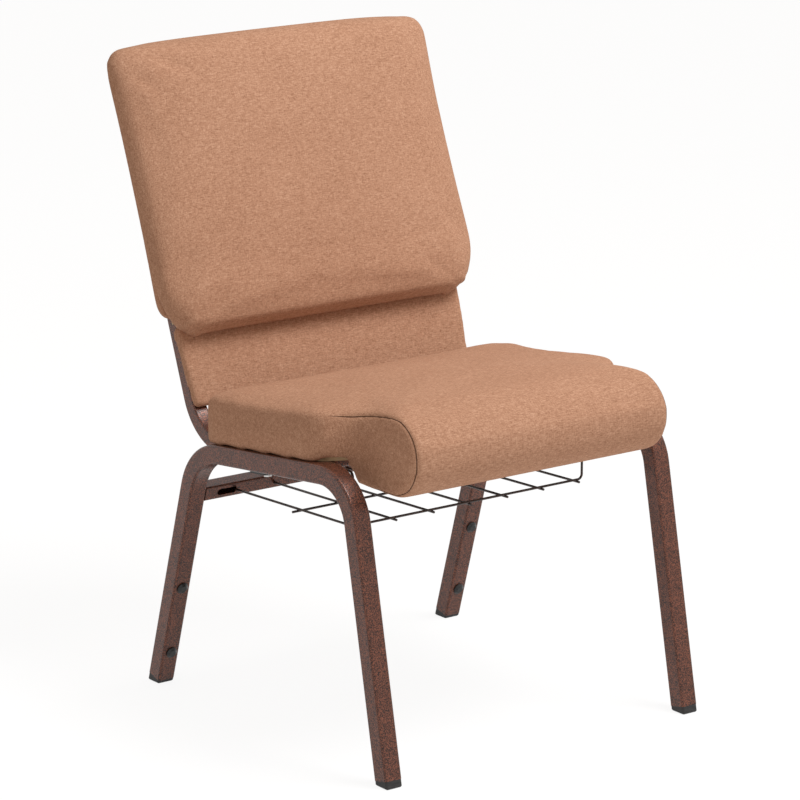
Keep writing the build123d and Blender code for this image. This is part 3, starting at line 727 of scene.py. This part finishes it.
upper_cover = soft_form(
    "back_upper_cover", "back_upper_pad", PAD_VOXEL, back_held, cap=0.0022, shape=pad_form
)
points = get(upper_cover.data, "co")
move(upper_cover.data, points + get(upper_cover.data, "normal") * folds(points)[:, None])
finished(upper_cover)
lumbar_cover = soft_form(
    "back_lumbar_cover",
    "back_lumbar_pad",
    LUMBAR_VOXEL,
    back_held,
    cap=0.0015,
    start=hull_copy,
    shape=lumbar_form,
    smoothing=LUMBAR_SMOOTHING,
)
finished(lumbar_cover)
rear_cover = soft_form("back_rear_cover", "back_rear_pad", PAD_VOXEL, rear_held, cap=0.002)
finished(rear_cover)


# Thin cloth under the seat and behind the lumbar pad
def cloth_panel(name, columns, rows, spot, material):
    """Thin panel on a grid of points, with a little thickness."""
    work = bmesh.new()
    grid = []
    for row in range(rows + 1):
        grid.append([work.verts.new(spot(column / columns, row / rows)) for column in range(columns + 1)])
    for low, high in zip(grid, grid[1:]):
        for c in range(columns):
            work.faces.new((low[c], low[c + 1], high[c + 1], high[c]))
    piece = built(name, work, material)
    thick = piece.modifiers.new("thick", "SOLIDIFY")
    thick.thickness = SHEET_THICK
    thick.offset = 0
    applied(piece)
    return piece


def under_seat(across, along):
    """Point of the dust cloth: stretched between the cross tubes, with a slight sag and pulled edges."""
    x = DUST_HALF * (2 * across - 1)
    place_along = DUST_START + DUST_RUN * along
    sag = DUST_SAG * sin(pi * across) * sin(pi * along)
    pucker = DUST_PUCKER * sin(DUST_PUCKERS * pi * across) * abs(2 * along - 1) ** 6
    drop = -DUST_BELOW - sag + pucker
    y = place_along * cos(RAIL_PITCH) + drop * sin(RAIL_PITCH)
    z = SEAT_PLANE_Z - place_along * sin(RAIL_PITCH) + drop * cos(RAIL_PITCH)
    return Vector((x, y, z))


def behind_lumbar(across, along):
    """Point of the cover where it wraps the rear of the board between the uprights."""
    x = WRAP_HALF * (2 * across - 1)
    out = -WRAP_BEHIND - WRAP_BOW * sin(pi * across) * sin(pi * along)
    return back_world(x, WRAP_START + WRAP_RUN * along, out)


dust_cover = cloth_panel("dust_cover", 120, 30, under_seat, materials["dust_cloth"])
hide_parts("seat_dust_cover")
finished(dust_cover)

lumbar_wrap = cloth_panel("lumbar_wrap", 80, 20, behind_lumbar, materials["upholstery"])
finished(lumbar_wrap)

# Camera at the photograph's view
forward = Vector(CAMERA_FORWARD).normalized()
flat = forward.cross(Vector((0, 0, 1))).normalized()
upright = flat.cross(forward)
right = flat * cos(CAMERA_ROLL) + upright * sin(CAMERA_ROLL)
up = upright * cos(CAMERA_ROLL) - flat * sin(CAMERA_ROLL)
turn = Matrix((right, up, -forward)).transposed().to_4x4()
camera = bpy.data.objects.new("camera", bpy.data.cameras.new("camera"))
camera.data.sensor_fit = "HORIZONTAL"
camera.data.sensor_width = 36.0
camera.data.lens = 180.8
camera.data.clip_end = 60.0
camera.matrix_world = Matrix.Translation(CAMERA_PLACE) @ turn
scene.collection.objects.link(camera)
scene.camera = camera


# Studio
def seen_rays(tree):
    """1 for what the camera sees, also in or through a surface, 0 for what lights the object."""
    rays = node(tree, "ShaderNodeLightPath")
    clear = joined(tree, "MAXIMUM", rays.outputs["Is Camera Ray"], rays.outputs["Is Transmission Ray"])
    return joined(tree, "MAXIMUM", clear, rays.outputs["Is Glossy Ray"])


def floor_material():
    """Pale matte floor that the camera sees lifted towards white, with the object's shadow kept."""
    material, tree, shader = new_material("floor", Base_Color=FLOOR_COLOUR, Roughness=0.9)
    glow = node(tree, "ShaderNodeEmission", Strength=FLOOR_GLOW)
    mix = node(tree, "ShaderNodeMixShader")
    tree.links.new(joined(tree, "MULTIPLY", seen_rays(tree), FLOOR_LIFT), mix.inputs["Fac"])
    tree.links.new(shader.outputs["BSDF"], mix.inputs[1])
    tree.links.new(glow.outputs["Emission"], mix.inputs[2])
    tree.links.new(mix.outputs["Shader"], tree.nodes["Material Output"].inputs["Surface"])
    return material


def floor_panel():
    """Wide stage floor, just under the chair's feet."""
    half = FLOOR_SIZE / 2
    mesh = bpy.data.meshes.new("floor")
    corners = [(-half, -half, 0), (half, -half, 0), (half, half, 0), (-half, half, 0)]
    mesh.from_pydata(corners, [], [(0, 1, 2, 3)])
    mesh.materials.append(floor_material())
    made = bpy.data.objects.new("floor", mesh)
    made.matrix_world = Matrix.Translation((0, 0, FLOOR_Z))
    scene.collection.objects.link(made)


def lamp(name, spot, target, size, power):
    """Square soft box that faces a target."""
    light = bpy.data.lights.new(name, "AREA")
    light.shape = "SQUARE"
    light.size = size
    light.energy = power
    made = bpy.data.objects.new(name, light)
    made.location = spot
    made.rotation_euler = (Vector(target) - Vector(spot)).to_track_quat("-Z", "Y").to_euler()
    scene.collection.objects.link(made)


world = bpy.data.worlds.new("studio")
world.use_nodes = True
scene.world = world
sky = world.node_tree
background = sky.nodes["Background"]
lift = joined(sky, "MULTIPLY", seen_rays(sky), 1 - AMBIENT)
sky.links.new(joined(sky, "ADD", lift, AMBIENT), background.inputs["Strength"])
tint = node(sky, "ShaderNodeMixRGB", Color1=(*WARM, 1), Color2=(1, 1, 1, 1))
sky.links.new(seen_rays(sky), tint.inputs["Fac"])
sky.links.new(tint.outputs["Color"], background.inputs["Color"])
floor_panel()
lamp("key", spot=(0.92, -1.35, 3.15), target=(0, 0, 0.4), size=1.5, power=82)

scene.view_settings.view_transform = "Standard"
bpy.context.view_layer.update()
